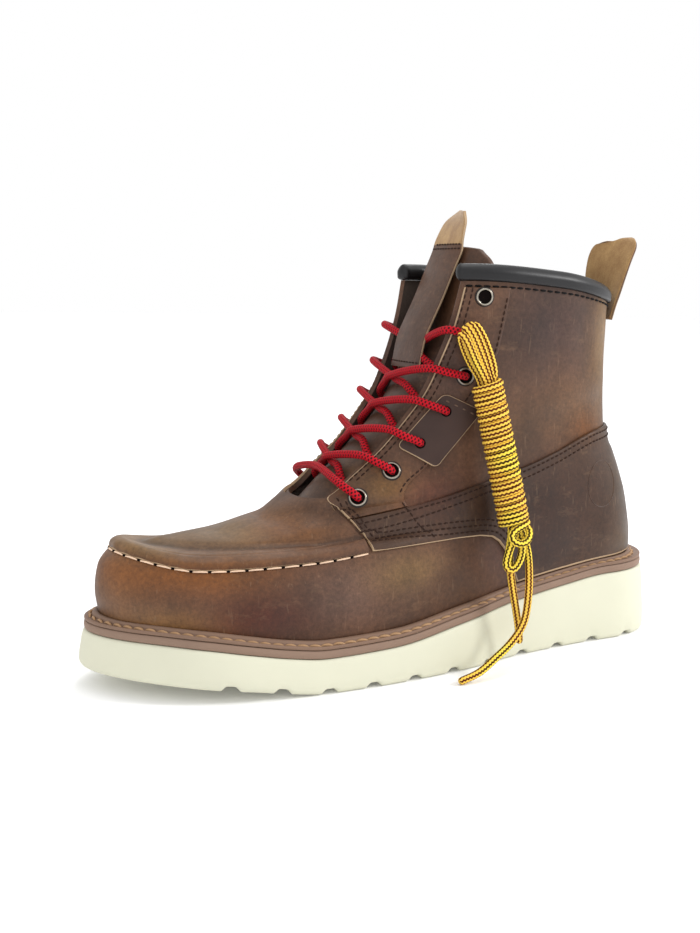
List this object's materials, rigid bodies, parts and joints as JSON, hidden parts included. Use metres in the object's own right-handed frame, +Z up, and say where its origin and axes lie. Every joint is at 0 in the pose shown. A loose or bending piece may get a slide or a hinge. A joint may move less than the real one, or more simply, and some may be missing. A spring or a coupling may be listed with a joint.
{
  "type": "wedge sole work boot",
  "caption": "Ankle-high laced work boot with a moc toe, pull tabs, storm welt and a thick flat wedge sole, left foot.",
  "frame": {"origin": "on the floor, under the middle of the boot's bounding box without the spare lace", "axes": "+Z up; the toe points along -X and the heel along +X; -Y is the outer (lateral) side"},
  "size_m": [0.319, 0.1228, 0.2321],
  "materials": {
    "cream_rubber": "matte, fine pebble",
    "tan_layer": "matte",
    "brown_leather": "oiled pull-up leather, satin",
    "dark_leather": "oiled leather, satin",
    "suede": "rough flesh side",
    "black_lining": "soft lining leather",
    "nickel": "aged nickel",
    "red_lace": "round braid",
    "yellow_lace": "round braid"
  },
  "bodies": {
    "root": {"outsole": "cream_rubber", "midsole": "tan_layer", "welt": "tan_layer", "insole": "suede", "upper": "brown_leather", "moc_plug": "brown_leather", "counter": "dark_leather", "eyestay_lateral": "brown_leather", "eyestay_medial": "brown_leather", "collar": "black_lining", "tongue": "brown_leather", "tongue_pull": "suede", "heel_pull": "suede", "label": "dark_leather", "eyelet_medial_1": "nickel", "eyelet_lateral_1": "nickel", "eyelet_medial_2": "nickel", "eyelet_lateral_2": "nickel", "eyelet_medial_3": "nickel", "eyelet_medial_4": "nickel", "eyelet_medial_5": "nickel", "eyelet_lateral_5": "nickel", "eyelet_medial_6": "nickel", "eyelet_lateral_6": "nickel", "eyelet_medial_7": "nickel", "eyelet_lateral_7": "nickel", "lace_bar": "red_lace", "lace_cross_1": "red_lace", "lace_cross_2": "red_lace", "lace_cross_3": "red_lace", "lace_cross_4": "red_lace", "lace_cross_5": "red_lace", "spare_lace_hank": "yellow_lace", "spare_lace_loops": "yellow_lace", "spare_lace_tail_1": "yellow_lace", "spare_lace_tail_2": "yellow_lace"}
  },
  "joints": []
}
